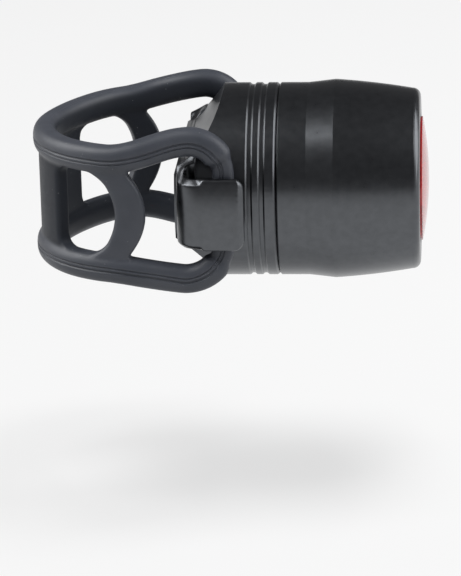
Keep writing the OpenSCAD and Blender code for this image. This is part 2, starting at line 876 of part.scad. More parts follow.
// A ladder rung from the lower rail to the upper one, bulging towards its hook
rung_steps = 28;
rung_sink = 0.3;
ladder_power = 0.6;
module ladder_rung(s, way) {
    reach = rail_height(s) - rail_h / 2 + 1;
    pts = [
        for (i = [0 : rung_steps])
            let (
                z = reach * (2 * i / rung_steps - 1),
                mid = s + way * ladder_bulge * (1 - pow(z / rail_height(s), 2)),
                to_hook = rung_half(mid + way * ladder_w / 2, z, hook_fillet),
                to_loop = rung_half(mid - way * ladder_w / 2, z, ladder_fillet)
            )
            for (j = [0 : bead_sides - 1])
                let (
                    a = 360 * j / bead_sides,
                    w = squared(sin(a), ladder_power),
                    run = mid - w * (w * way < 0 ? to_hook : to_loop)
                )
                strap_point(run, z) + ladder_t / 2 * squared(cos(a), ladder_power) * strap_normal(run)
    ];
    polyhedron(pts, tube_faces(rung_steps + 1, bead_sides), convexity = 4);
}

// The plain band between the two rails, round the loop
module middle_band() {
    steps = 20;
    rings = steps + 1;
    pts = [
        for (i = [0 : steps])
            let (
                s = band_far_at + (strap_len - band_far_at - band_near_at) * i / steps,
                h = rail_height(s),
                n = strap_normal(s) * band_t / 2
            )
            each [
                strap_point(s, -h) + n, strap_point(s, h) + n,
                strap_point(s, h) - n, strap_point(s, -h) - n
            ]
    ];
    polyhedron(pts, tube_faces(rings, 4), convexity = 4);
}

module strap() {
    n = len(bead_route);
    pts = [
        for (i = [0 : n - 1])
            let (f = bead_fullness(bead_route[i]))
            each bead_ring(
                bead_route, i,
                end_rung_t + (rail_t - end_rung_t) * f,
                end_rung_w + (rail_h - end_rung_w) * f,
                rail_power, bead_sides, true
            )
    ];
    color(silicone)
        union() {
            polyhedron(pts, loop_faces(n, bead_sides), convexity = 8);
            ladder_rung(ladder_at, -1);
            ladder_rung(strap_len - ladder_at, 1);
            middle_band();
        }
}

base_cap();
battery_sleeve();
rear_contact();
rear_cell_can();
rear_cell_cap();
rear_cell_gasket();
front_cell_can();
front_cell_cap();
front_cell_gasket();
body_o_ring();
head_shell();
board_ring();
circuit_board();
contact_spring();
switch_case();
switch_plunger();
led_packages();
driver_chip();
chip_capacitors();
reflector();
lens_seal();
push_lens();
strap();
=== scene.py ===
import math

import bmesh
import bpy
import numpy as np
from mathutils import Matrix, Vector

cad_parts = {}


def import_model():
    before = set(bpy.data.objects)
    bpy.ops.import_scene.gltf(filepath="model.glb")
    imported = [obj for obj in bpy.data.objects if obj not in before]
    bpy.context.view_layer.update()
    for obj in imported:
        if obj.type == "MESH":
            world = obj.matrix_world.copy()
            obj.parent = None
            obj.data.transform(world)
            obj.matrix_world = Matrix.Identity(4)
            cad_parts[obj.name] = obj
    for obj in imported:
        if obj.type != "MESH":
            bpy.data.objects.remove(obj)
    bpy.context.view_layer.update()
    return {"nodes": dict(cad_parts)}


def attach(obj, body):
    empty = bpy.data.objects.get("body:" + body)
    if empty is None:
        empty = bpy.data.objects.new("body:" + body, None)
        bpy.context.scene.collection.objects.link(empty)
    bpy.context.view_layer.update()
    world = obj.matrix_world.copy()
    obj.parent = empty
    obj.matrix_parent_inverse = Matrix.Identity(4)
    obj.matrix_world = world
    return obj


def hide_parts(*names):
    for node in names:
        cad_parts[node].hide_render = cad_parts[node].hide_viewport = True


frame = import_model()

MM = 0.001
NODES = frame["nodes"]


# Node materials

# The part of a noise over which a blotchy colour changes, and how far roughness varies
BLOTCH_LOW, BLOTCH_HIGH, ROUGH_SPREAD = 0.3, 0.7, 0.12

# Where the strap is matte and its colour is darkened with painted shade, from none to full:
# heights and places along X on its band in millimetres, and how far a surface faces out
# from the loop's middle
MATTE_AND_SHADE_HEIGHTS, MATTE_AND_SHADE_PLACES, MATTE_AND_SHADE_FACING = (6.3, 5.5), (-11.5, -13.5), (-0.2, -0.75)
LOOP_MIDDLE_X = -3.0


def material(name, base, rough, metal=0.0, **sockets):
    """A principled material with its constants set on the shader.

    Returns the material, its node tree and the shader.
    """
    mat = bpy.data.materials.new(name)
    mat.use_nodes = True
    tree = mat.node_tree
    shader = tree.nodes["Principled BSDF"]
    shader.inputs["Base Color"].default_value = (*base, 1.0)
    shader.inputs["Roughness"].default_value = rough
    shader.inputs["Metallic"].default_value = metal
    for key, value in sockets.items():
        shader.inputs[key.replace("_", " ")].default_value = value
    mat.diffuse_color = (*base, 1.0)
    return mat, tree, shader


def noise(tree, scale, detail=2.0):
    """A noise texture in the row frame."""
    coord = tree.nodes.new("ShaderNodeTexCoord")
    node = tree.nodes.new("ShaderNodeTexNoise")
    node.inputs["Scale"].default_value = scale
    node.inputs["Detail"].default_value = detail
    tree.links.new(coord.outputs["Object"], node.inputs["Vector"])
    return node.outputs["Fac"]


def cells(tree, scale, feature="F1"):
    """The distance of a cell texture in the row frame."""
    coord = tree.nodes.new("ShaderNodeTexCoord")
    node = tree.nodes.new("ShaderNodeTexVoronoi")
    node.feature = feature
    node.inputs["Scale"].default_value = scale
    tree.links.new(coord.outputs["Object"], node.inputs["Vector"])
    return node.outputs["Distance"]


def ramp(tree, fac, stops):
    """A colour ramp over fac, from (place, colour) stops."""
    node = tree.nodes.new("ShaderNodeValToRGB")
    elements = node.color_ramp.elements
    while len(elements) < len(stops):
        elements.new(0.5)
    for element, (place, colour) in zip(elements, stops):
        element.position = place
        element.color = (*colour, 1.0)
    tree.links.new(fac, node.inputs["Fac"])
    return node.outputs["Color"]


def blotches(tree, fac, low, high):
    """A colour that goes from low to high over the middle of a noise."""
    return ramp(tree, fac, [(BLOTCH_LOW, low), (BLOTCH_HIGH, high)])


def blended(tree, fac, colour, constant):
    """A colour socket that turns into a constant colour where fac is 1."""
    mix = tree.nodes.new("ShaderNodeMix")
    mix.data_type = "RGBA"
    tree.links.new(fac, mix.inputs["Factor"])
    tree.links.new(colour, mix.inputs["A"])
    mix.inputs["B"].default_value = (*constant, 1.0)
    return mix.outputs["Result"]


def spread(tree, fac, low, high):
    """Maps fac from 0..1 to low..high."""
    node = tree.nodes.new("ShaderNodeMapRange")
    node.inputs["To Min"].default_value = low
    node.inputs["To Max"].default_value = high
    tree.links.new(fac, node.inputs["Value"])
    return node.outputs["Result"]


def step(tree, value, start, end):
    """A smooth step of a value, from 0 at start to 1 at end."""
    node = tree.nodes.new("ShaderNodeMapRange")
    node.interpolation_type = "SMOOTHSTEP"
    node.inputs["From Min"].default_value = start
    node.inputs["From Max"].default_value = end
    tree.links.new(value, node.inputs["Value"])
    return node.outputs["Result"]


def maths(tree, operation, *values):
    """The result of a math node over sockets."""
    node = tree.nodes.new("ShaderNodeMath")
    node.operation = operation
    for value, socket in zip(values, node.inputs):
        tree.links.new(value, socket)
    return node.outputs[0]


def vector_maths(tree, operation, *values):
    """A vector math node over sockets."""
    node = tree.nodes.new("ShaderNodeVectorMath")
    node.operation = operation
    for value, socket in zip(values, node.inputs):
        tree.links.new(value, socket)
    return node


def bump(tree, shader, height, distance, strength=1.0):
    """Gives the shader a bump from a height, of a distance in millimetres."""
    node = tree.nodes.new("ShaderNodeBump")
    node.inputs["Distance"].default_value = distance * MM
    node.inputs["Strength"].default_value = strength
    tree.links.new(height, node.inputs["Height"])
    tree.links.new(node.outputs["Normal"], shader.inputs["Normal"])


def mottled(
    name, base, rough, metal=0.0, amount=0.12, scale=400.0, grain=4000.0, depth=0.004
):
    """A material whose colour and roughness vary a little, with a fine grain."""
    mat, tree, shader = material(name, base, rough, metal)
    blotch = noise(tree, scale, detail=3.0)
    low = tuple(c * (1 - amount) for c in base)
    high = tuple(min(1.0, c * (1 + amount)) for c in base)
    tree.links.new(blotches(tree, blotch, low, high), shader.inputs["Base Color"])
    smoother, rougher = rough * (1 - ROUGH_SPREAD), rough * (1 + ROUGH_SPREAD)
    tree.links.new(spread(tree, blotch, smoother, rougher), shader.inputs["Roughness"])
    bump(tree, shader, noise(tree, grain), depth)
    return mat


def matte_and_painted_shade_share(tree):
    """1 on the strap's recessed band and inner side, which are matte and darkened with painted
    shade; 0 elsewhere.
    """
    coord = tree.nodes.new("ShaderNodeTexCoord")
    split = tree.nodes.new("ShaderNodeSeparateXYZ")
    tree.links.new(coord.outputs["Object"], split.inputs["Vector"])
    height = maths(tree, "ABSOLUTE", split.outputs["Z"])
    between = step(tree, height, *(z * MM for z in MATTE_AND_SHADE_HEIGHTS))
    behind = step(tree, split.outputs["X"], *(x * MM for x in MATTE_AND_SHADE_PLACES))
    band = maths(tree, "MULTIPLY", between, behind)
    outward = vector_maths(tree, "SUBTRACT", coord.outputs["Object"])
    outward.inputs[1].default_value = (LOOP_MIDDLE_X * MM, 0.0, 0.0)
    unit = vector_maths(tree, "NORMALIZE", outward.outputs["Vector"])
    facing = vector_maths(tree, "DOT_PRODUCT", unit.outputs["Vector"], coord.outputs["Normal"])
    inner = step(tree, facing.outputs["Value"], *MATTE_AND_SHADE_FACING)
    return maths(tree, "MAXIMUM", band, inner)


def silicone():
    """Slate-black moulded silicone with a soft sheen and specks of dust.

    It is matte on the strap's recessed band and on its inner side, and painted shade darkens its
    colour there.
    """
    sheen, dull_sheen = 0.45, 0.12
    # The darker tone is painted shade for the recessed band and the loop's inner side
    painted_shade_tone, dust_tone = (0.026, 0.029, 0.036), (0.16, 0.165, 0.175)
    mat, tree, shader = material("silicone", (0.050, 0.055, 0.068), 0.5, Specular_IOR_Level=sheen)
    matte_and_painted_shade = matte_and_painted_shade_share(tree)
    dust = ramp(tree, cells(tree, scale=900.0), [(0.035, (1.0, 1.0, 1.0)), (0.07, (0.0, 0.0, 0.0))])
    blotch = noise(tree, scale=220.0, detail=4.0)
    tone = blotches(tree, blotch, (0.042, 0.047, 0.059), (0.058, 0.063, 0.077))
    # Painted shade: the recessed band and the inner side blend to the darker tone, then dust specks
    # go on top
    tone = blended(tree, dust, blended(tree, matte_and_painted_shade, tone, painted_shade_tone), dust_tone)
    tree.links.new(tone, shader.inputs["Base Color"])
    tree.links.new(spread(tree, matte_and_painted_shade, sheen, dull_sheen), shader.inputs["Specular IOR Level"])
    rough = spread(tree, noise(tree, scale=900.0, detail=3.0), low=0.40, high=0.54)
    tree.links.new(rough, shader.inputs["Roughness"])
    bump(tree, shader, noise(tree, scale=5000.0, detail=3.0), distance=0.006)
    return mat


def red_lens():
    """Translucent red moulded lens, a little uneven inside."""
    mat, tree, shader = material(
        "red_lens", (0.78, 0.03, 0.035), 0.12,
        Transmission_Weight=0.72, IOR=1.49, Coat_Weight=0.3, Coat_Roughness=0.05,
    )
    tone = blotches(tree, noise(tree, scale=500.0), (0.74, 0.026, 0.03), (0.84, 0.045, 0.05))
    tree.links.new(tone, shader.inputs["Base Color"])
    rough = spread(tree, noise(tree, scale=1500.0), low=0.09, high=0.16)
    tree.links.new(rough, shader.inputs["Roughness"])
    bump(tree, shader, noise(tree, scale=900.0), distance=0.002)
    return mat


def circuit():
    """Green solder mask over a faint pattern of copper tracks."""
    mat, tree, shader = material("circuit", (0.02, 0.14, 0.07), 0.35)
    edge = cells(tree, scale=420.0, feature="DISTANCE_TO_EDGE")
    over_track, over_board = (0.04, 0.23, 0.11), (0.018, 0.125, 0.06)
    tone = ramp(tree, edge, [(0.05, over_track), (0.09, over_board)])
    tree.links.new(tone, shader.inputs["Base Color"])
    rough = spread(tree, noise(tree, scale=900.0), low=0.28, high=0.42)
    tree.links.new(rough, shader.inputs["Roughness"])
    bump(tree, shader, edge, distance=0.01, strength=0.4)
    return mat


ANODISED = mottled(
    "anodised", (0.110, 0.115, 0.123), 0.29, 1.0,
    amount=0.07, scale=900.0, grain=9000.0, depth=0.0025,
)
SILICONE = silicone()
RED_LENS = red_lens()
RUBBER = mottled("seal_rubber", (0.02, 0.02, 0.022), 0.6, scale=700.0)
SLEEVE = mottled("sleeve_plastic", (0.74, 0.73, 0.68), 0.45, amount=0.05)
WHITE = mottled("white_plastic", (0.86, 0.86, 0.84), 0.25, amount=0.03, depth=0.002)
BLACK = mottled("black_plastic", (0.03, 0.03, 0.033), 0.45)
RED_KEY = mottled("red_plastic", (0.5, 0.05, 0.04), 0.4)
BRASS = mottled("contact_brass", (0.78, 0.62, 0.3), 0.25, 1.0, amount=0.06, depth=0.002)
STEEL = mottled("cell_steel", (0.66, 0.67, 0.69), 0.22, 1.0, amount=0.05, depth=0.0015)
RING = mottled("ring_metal", (0.5, 0.51, 0.53), 0.32, 1.0, amount=0.06)
GASKET = mottled("gasket_plastic", (0.1, 0.14, 0.2), 0.5)
CERAMIC = mottled("capacitor", (0.5, 0.38, 0.25), 0.5)
BOARD = circuit()

FINISHES = {
    ANODISED: ("base_cap", "head_shell"),
    SILICONE: ("strap",),
    RED_LENS: ("push_lens",),
    RUBBER: ("body_o_ring", "lens_seal"),
    SLEEVE: ("battery_sleeve",),
    WHITE: ("led_packages", "reflector"),
    BLACK: ("switch_case", "driver_chip"),
    RED_KEY: ("switch_plunger",),
    BRASS: ("rear_contact", "contact_spring"),
    STEEL: ("rear_cell_can", "rear_cell_cap", "front_cell_can", "front_cell_cap"),
    RING: ("board_ring",),
    GASKET: ("rear_cell_gasket", "front_cell_gasket"),
    CERAMIC: ("chip_capacitors",),
    BOARD: ("circuit_board",),
}
for finish, names in FINISHES.items():
    for name in names:
        mesh = NODES[name].data
        mesh.materials.clear()
        mesh.materials.append(finish)


# Mesh helpers, in millimetres

def in_scene(name, data):
    """A new object in the scene."""
    obj = bpy.data.objects.new(name, data)
    bpy.context.scene.collection.objects.link(obj)
    return obj


def dress(obj, mat, smooth=True):
    """Gives an object one material, and smooth or flat faces."""
    mesh = obj.data
    mesh.materials.clear()
    mesh.materials.append(mat)
    mesh.polygons.foreach_set("use_smooth", [smooth] * len(mesh.polygons))


def mesh_object(name, points, faces, mat, smooth=True):
    """An object from points in millimetres and faces, with outward normals."""
    mesh = bpy.data.meshes.new(name)
    mesh.from_pydata([tuple(float(c) * MM for c in p) for p in points], [], faces)
    work = bmesh.new()
    work.from_mesh(mesh)
    bmesh.ops.recalc_face_normals(work, faces=work.faces)
    work.to_mesh(mesh)
    work.free()
    obj = in_scene(name, mesh)
    dress(obj, mat, smooth)
    return obj


def tube(rings, closed):
    """Points and faces of a tube through rings of equal length."""
    count, sides = len(rings), len(rings[0])
    points = np.concatenate(rings)
    faces = []
    for i in range(count if closed else count - 1):
        a, b = i * sides, ((i + 1) % count) * sides
        for k in range(sides):
            n = (k + 1) % sides
            faces.append((a + k, a + n, b + n, b + k))
    if not closed:
        faces.append(tuple(range(sides)))
        faces.append(tuple((count - 1) * sides + k for k in range(sides)))
    return points, faces


def lathe(profile, steps=256):
    """A closed profile of (x, radius) points turned round the X axis."""
    rings = []
    for a in np.arange(steps) * 2 * math.pi / steps:
        rings.append(np.array([(x, r * math.cos(a), r * math.sin(a)) for x, r in profile]))
    return tube(rings, True)


def joined(parts):
    """One list of points and faces from several."""
    points, faces, start = [], [], 0
    for p, f in parts:
        points.append(np.asarray(p))
        faces += [tuple(i + start for i in face) for face in f]
        start += len(p)
    return np.concatenate(points), faces


def apply_modifiers(obj):
    """Bakes an object's modifiers into its mesh."""
    graph = bpy.context.evaluated_depsgraph_get()
    mesh = bpy.data.meshes.new_from_object(obj.evaluated_get(graph))
    old = obj.data
    obj.modifiers.clear()
    obj.data = mesh
    bpy.data.meshes.remove(old)


def blend(obj, voxel, smoothing):
    """Turns an object's skin into one even grid with soft edges."""
    remesh = obj.modifiers.new("blend", "REMESH")
    remesh.mode = "VOXEL"
    remesh.voxel_size = voxel * MM
    remesh.use_smooth_shade = True
    soften = obj.modifiers.new("soften", "SMOOTH")
    soften.factor = 0.5
    soften.iterations = smoothing
    apply_modifiers(obj)


def combine(obj, other, operation):
    """Applies a boolean of another object to an object, and removes the other."""
    cut = obj.modifiers.new("combine", "BOOLEAN")
    cut.operation = operation
    cut.solver = "MANIFOLD"
    cut.object = other
    apply_modifiers(obj)
    mesh = other.data
    bpy.data.objects.remove(other)
    bpy.data.meshes.remove(mesh)


def ease(t):
    """A smooth rise from 0 to 1 while t goes from 0 to 1."""
    k = min(1.0, max(0.0, t))
    return k * k * (3 - 2 * k)


def squared(w, power):
    """A sine or cosine bent so that a circle becomes a squarer oval."""
    return np.sign(w) * np.abs(w) ** power


# The strap's form: the same values as its solid

BODY_R = 13.5
SLOT_W = 2.7
SLOT_MID = BODY_R + SLOT_W / 2
END_X = 6.9
LEAVE_X, LEAVE_IN = 0.5, 0.7
END_CORNER, LOW_CORNER = 4.6, 5.5
REACH, BOW_NEAR, BOW_FAR = 18.5, 16.2, 14.1
RAIL_Z, RAIL_END_Z, RAIL_H, RAIL_T = 7.8, 9.9, 4.0, 3.4
RISE_FROM, RISE_RUN = 16.3, 12.2
END_W, END_T = 3.0, SLOT_W - 0.5
END_THIN, END_GROW = 6.8, 1.0
LADDER_AT, LADDER_W, LADDER_T, LADDER_BULGE = 16.9, 4.1, 2.5, 4.0
LADDER_FILLET, HOOK_FILLET, RUNG_SINK, RUNG_OVERLAP = 2.2, 0.9, 0.3, 1.0
BAND_NEAR, BAND_FAR, BAND_T, BAND_FILLET = 23.9, 25.7, 2.0, 1.5
BAND_EDGE, BAND_EDGE_COLUMNS = 0.72, 2.0
BEAD_POWER, RUNG_POWER = 0.8, 0.5
NORMAL_STEP = 0.6
STRAP_VOXEL, STRAP_SMOOTHING = 0.2, 9

# Moulded lines along the bead: turn round its section, radius, and cut in or raised
BEAD_LINES = ((0.05, 0.2, "DIFFERENCE"), (-0.22, 0.11, "DIFFERENCE"), (2.0, 0.07, "UNION"))

# The strap's centreline from above, from the far hook round the loop to the near hook
PLAN = np.array([
    (END_X, SLOT_MID),
    (LEAVE_X, SLOT_MID - LEAVE_IN),
    (-0.30 * REACH, BOW_FAR),
    (-0.60 * REACH, 0.81 * BOW_FAR),
    (-0.83 * REACH, 0.44 * BOW_FAR),
    (-0.98 * REACH, 0.0),
    (-REACH, -0.31 * BOW_NEAR),
    (-0.91 * REACH, -0.60 * BOW_NEAR),
    (-0.74 * REACH, -0.83 * BOW_NEAR),
    (-0.50 * REACH, -0.98 * BOW_NEAR),
    (-0.28 * REACH, -BOW_NEAR),
    (LEAVE_X, -SLOT_MID),
    (END_X, -SLOT_MID),
])


def plan_line(steps=40):
    """A smooth line through the plan's points."""
    p = np.vstack([2 * PLAN[0] - PLAN[1], PLAN, 2 * PLAN[-1] - PLAN[-2]])
    out = []
    for i in range(1, len(p) - 2):
        a, b, c, d = p[i - 1], p[i], p[i + 1], p[i + 2]
        square, cube = 2 * a - 5 * b + 4 * c - d, 3 * b - a - 3 * c + d
        for t in np.arange(steps) / steps:
            out.append((2 * b + (c - a) * t + square * t * t + cube * t ** 3) / 2)
    out.append(PLAN[-1])
    return np.array(out)


LINE = plan_line()
RUN = np.concatenate([[0.0], np.cumsum(np.linalg.norm(np.diff(LINE, axis=0), axis=1))])
LENGTH = RUN[-1]


def on_strap(s, z):
    """A point of the strap's middle surface."""
    return np.array([np.interp(s, RUN, LINE[:, 0]), np.interp(s, RUN, LINE[:, 1]), z])


def inward(s):
    """The strap's inward normal."""
    d = on_strap(min(LENGTH, s + NORMAL_STEP), 0) - on_strap(max(0.0, s - NORMAL_STEP), 0)
    return np.array([-d[1], d[0], 0.0]) / np.linalg.norm(d)


def rail_height(s):
    """The height of the rails' middle, which rises towards both ends."""
    from_end = min(s, LENGTH - s)
    return RAIL_Z + (RAIL_END_Z - RAIL_Z) * ease((RISE_FROM - from_end) / RISE_RUN)


def rail_route(corner, steps=150):
    """The bead's route along a rail, between the corners at its ends."""
    runs = [corner + (LENGTH - 2 * corner) * i / steps for i in range(1, steps)]
    return [(s, rail_height(s)) for s in runs]


def corner_route(radius, steps=16):
    """The bead's route round an upper corner at the near end, from the rail to the end rung."""
    middle = LENGTH - radius, rail_height(radius) - radius
    turns = [math.radians(90 - 90 * i / steps) for i in range(steps + 1)]
    return [(middle[0] + radius * math.cos(a), middle[1] + radius * math.sin(a)) for a in turns]


def below(route):
    """An upper route's mirror image below, run the other way."""
    return [(s, -z) for s, z in reversed(route)]


def bead_route(rung_steps=13):
    """The bead's closed route on the strap, as (run, height) points."""
    upper, lower = corner_route(END_CORNER), below(corner_route(LOW_CORNER))
    straight = [(LENGTH, z) for z in np.linspace(upper[-1][1], lower[0][1], rung_steps)[1:-1]]
    near = upper + straight + lower
    far = [(LENGTH - s, z) for s, z in reversed(near)]
    return rail_route(END_CORNER) + near + below(rail_route(LOW_CORNER)) + far


ROUTE = bead_route()


def frame_at(i):
    """Place, inward normal and sideways direction at a point of the bead's route."""
    along = on_strap(*ROUTE[(i + 1) % len(ROUTE)]) - on_strap(*ROUTE[i - 1])
    flat = inward(ROUTE[i][0])
    side = np.cross(along, flat)
    return on_strap(*ROUTE[i]), flat, side / np.linalg.norm(side)


def bead_size(i):
    """The bead's thickness and width at a point of its route: less in the slots."""
    full = ease((abs(ROUTE[i][1]) - END_THIN) / END_GROW)
    return END_T + (RAIL_T - END_T) * full, END_W + (RAIL_H - END_W) * full


def bead(sides=32):
    """The bead round both rails and both ends."""
    a = np.arange(sides) * 2 * math.pi / sides
    across, up = squared(np.cos(a), BEAD_POWER), squared(np.sin(a), BEAD_POWER)
    rings = []
    for i in range(len(ROUTE)):
        place, flat, side = frame_at(i)
        thick, wide = bead_size(i)
        x, y = across * thick / 2, up * wide / 2
        rings.append(place + x[:, None] * flat + y[:, None] * side)
    return tube(rings, True)


def line_on_bead(turn, radius, sides=8):
    """A thin closed tube on the bead's skin, at a turn round its section from its outside."""
    a = np.arange(sides) * 2 * math.pi / sides
    rings = []
    for i in range(len(ROUTE)):
        place, flat, side = frame_at(i)
        thick, wide = bead_size(i)
        x, y = -math.cos(turn) * thick / 2, math.sin(turn) * wide / 2
        centre = place + x * flat + y * side
        rings.append(centre + radius * (np.cos(a)[:, None] * flat + np.sin(a)[:, None] * side))
    return tube(rings, True)


def fillet(gap, radius):
    """How much wider a piece gets on one side, at a gap from the rail that it runs into."""
    k = min(1.0, max(0.0, 1 - gap / radius))
    return radius * (1 - math.sqrt(1 - k * k))


def rung_half(edge, z, radius):
    """Half of a ladder rung's width on one side, at a run of that side's edge and a height."""
    return LADDER_W / 2 + fillet(rail_height(edge) - RAIL_H / 2 + RUNG_SINK - abs(z), radius)


def ladder_rung(s, way, steps=64, sides=32):
    """A flat rung from rail to rail, bowed towards its hook."""
    h = rail_height(s)
    reach = h - RAIL_H / 2 + RUNG_OVERLAP
    rings = []
    for i in range(steps + 1):
        z = reach * (2 * i / steps - 1)
        mid = s + way * LADDER_BULGE * (1 - (z / h) ** 2)
        to_hook = rung_half(mid + way * LADDER_W / 2, z, HOOK_FILLET)
        to_loop = rung_half(mid - way * LADDER_W / 2, z, LADDER_FILLET)
        ring = []
        for k in range(sides):
            a = 2 * math.pi * k / sides
            w, thick = squared(math.sin(a), RUNG_POWER), squared(math.cos(a), RUNG_POWER)
            run = mid - w * (to_hook if w * way < 0 else to_loop)
            ring.append(on_strap(run, z) + LADDER_T / 2 * thick * inward(run))
        rings.append(np.array(ring))
    return tube(rings, False)


def middle_band(rows=41, columns=60):
    """The recessed band round the loop, with fillets where its edges run into the rails."""
    inside, outside = [], []
    for j in range(rows):
        z = (2 * j / (rows - 1) - 1) * rail_height(LENGTH / 2)
        grow = fillet(RAIL_Z - RAIL_H / 2 - abs(z), BAND_FILLET)
        start, end = BAND_FAR - grow, LENGTH - BAND_NEAR + grow
        for i in range(columns + 1):
            s = start + (end - start) * i / columns
            edge = min(1.0, min(i, columns - i) / BAND_EDGE_COLUMNS)
            full = BAND_EDGE + (1 - BAND_EDGE) * math.sqrt(edge * (2 - edge))
            half_thick = BAND_T / 2 * full * inward(s)
            inside.append(on_strap(s, z) + half_thick)
            outside.append(on_strap(s, z) - half_thick)
    half, wide = len(inside), columns + 1
    faces = []
    for j in range(rows - 1):
        for i in range(columns):
            a = j * wide + i
            faces.append((a, a + 1, a + wide + 1, a + wide))
            faces.append((half + a, half + a + wide, half + a + wide + 1, half + a + 1))
    border = list(range(wide)) + [j * wide + columns for j in range(1, rows)]
    border += [(rows - 1) * wide + i for i in range(columns - 1, -1, -1)]
    border += [j * wide for j in range(rows - 2, 0, -1)]
    for a, b in zip(border, border[1:] + border[:1]):
        faces.append((a, half + a, half + b, b))
    return np.array(inside + outside), faces


def strap():
    """The silicone ladder strap as one blended skin, with moulded lines along its rails."""
    rungs = [ladder_rung(LADDER_AT, -1), ladder_rung(LENGTH - LADDER_AT, 1)]
    obj = mesh_object("silicone_strap", *joined([bead(), *rungs, middle_band()]), SILICONE)
    blend(obj, STRAP_VOXEL, STRAP_SMOOTHING)
    for turn, radius, operation in BEAD_LINES:
        combine(obj, mesh_object("bead_line", *line_on_bead(turn, radius), SILICONE), operation)
    dress(obj, SILICONE)
    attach(obj, "strap")
    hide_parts("strap")


strap()


# The spigot's thread

def thread(steps_a_turn=72):
    """A helical ridge on the base cap's spigot, which runs out at both ends."""
    root, low_crest, crest, pitch = 11.32, 11.41, 11.72, 1.0
    foot_half, crest_half = 0.42, 0.08
    start, end, run_out = 15.45, 17.75, 0.25
    turns = (end - start) / pitch
    steps = int(turns * steps_a_turn)
    rings = []
    for i in range(steps + 1):
        t = i / steps
        a = 2 * math.pi * turns * t
        x = start + (end - start) * t
        lift = ease(t * turns / run_out) * ease((1 - t) * turns / run_out)
        top = low_crest + (crest - low_crest) * lift
        profile = [(-foot_half, root), (-crest_half, top), (crest_half, top), (foot_half, root)]
        rings.append(np.array([(x + dx, r * math.cos(a), r * math.sin(a)) for dx, r in profile]))
    obj = mesh_object("spigot_thread", *tube(rings, False), ANODISED, smooth=False)
    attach(obj, "base")


thread()


# The base cap with its hooks

BASE_LEN = 13.9
SLOT_OUT, PLATE_OUT = BODY_R + SLOT_W, BODY_R + SLOT_W + 1.7
WELD, SHARP_ANGLE = 0.0005, 30

# The turned body that the solid is cut back to, without its hooks
TURNED_FROM, TURNED_TO, TURNED_BORE, TURNED_R = -1.0, 30.0, 0.0005, BODY_R + 0.005

# Grip grooves and the parting bevel, with how far their cutters go past the skin
GROOVES, GROOVE_HALF, GROOVE_PAST = (9.85, 11.55), 0.36, 0.2
GROOVE_FLOOR, GROOVE_WALL, GROOVE_DEPTH = 0.42, 0.27, 0.23
BEVEL_RUN, BEVEL_DROP, BEVEL_PAST = 0.42, 0.3, 0.05

# A hook's plan and plate
HOOK_LEN, BEND_X, BEND_R, BEND_WALL = 9.8, 0.4, 3.5, 1.3
BEND_MID = (BEND_X + BEND_R, PLATE_OUT - BEND_R)
SLOT_END = (BEND_X + BEND_WALL + SLOT_W / 2, SLOT_MID)
PLATE_H, PLATE_START = 10.3, 0.25
PLATE_ROUND, PLATE_EDGE, PLATE_CORNER, FREE_BEVEL = 0.45, 0.3, 1.6, 0.8

# A hook's heights: at its bend, and how much higher its root is above and below
BEND_TOP, BEND_EDGE = 5.1, 4.3
ROOT_TOP, ROOT_CREST, ROOT_EDGE, ROOT_LOW = 1.5, 1.0, 2.0, 0.6
ROOT_START, BEND_ALONG, SLOPE_POWER = 10.0, 2.0, 1.4

# Where those heights change on the way from root to bend, as (middle, width)
TOP_FALL, CREST_FALL, EDGE_RISE, EDGE_FALL = (14.7, 0.42), (12.6, 0.25), (12.0, 0.3), (13.7, 0.45)

# Steps of a hook's skin: across its top, and counts along and round it
ACROSS = (0.15, 0.3, 0.45, 0.6, 0.72, 0.82, 0.9, 0.96)
INSIDE_STEPS, OUTSIDE_STEPS = 9, 17
ROOT_STEPS, WALL_STEPS, BEND_STEPS, PLATE_STEPS, CORNER_STEPS = 23, 15, 33, 10, 14
HOOK_VOXEL, HOOK_SMOOTHING = 0.12, 14


def hook_section(outer, inner, way, tops, bottoms, flat):
    """A ring round a hook's section between two points of its plan.

    way says how far its outside faces sideways. tops and bottoms are its heights at the
    inside and at the outer edge. flat goes from 0, a sloping top, to 1, a flat top with a
    round edge.
    """
    def slope(heights):
        high, edge = heights
        rows = []
        for f in ACROSS:
            k = max(0.0, (f - 1) / PLATE_EDGE + 1)
            sloping = high + (edge - high) * f ** SLOPE_POWER
            turned = high - (high - edge) * (1 - math.sqrt(1 - k * k))
            rows.append((f, sloping + (turned - sloping) * flat))
        return rows

    loop = [(0.0, z) for z in np.linspace(-bottoms[0], tops[0], INSIDE_STEPS)]
    loop += slope(tops)
    loop += [(1.0, z) for z in np.linspace(tops[1], -bottoms[1], OUTSIDE_STEPS)]
    loop += [(f, -z) for f, z in reversed(slope(bottoms))]
    points = []
    for f, z in loop:
        sag = way * f * (PLATE_OUT - math.sqrt(PLATE_OUT ** 2 - z * z))
        x, y = (i + (o - i) * f for o, i in zip(outer, inner))
        points.append((x, y - sag, z))
    return np.array(points)


def falling(at, middle, width):
    """A smooth fall from 1 to 0 round a middle."""
    return 1 / (1 + math.exp((at - middle) / width))


def rising(at, middle, width):
    """A smooth rise from 0 to 1 round a middle."""
    return falling(middle, at, width)


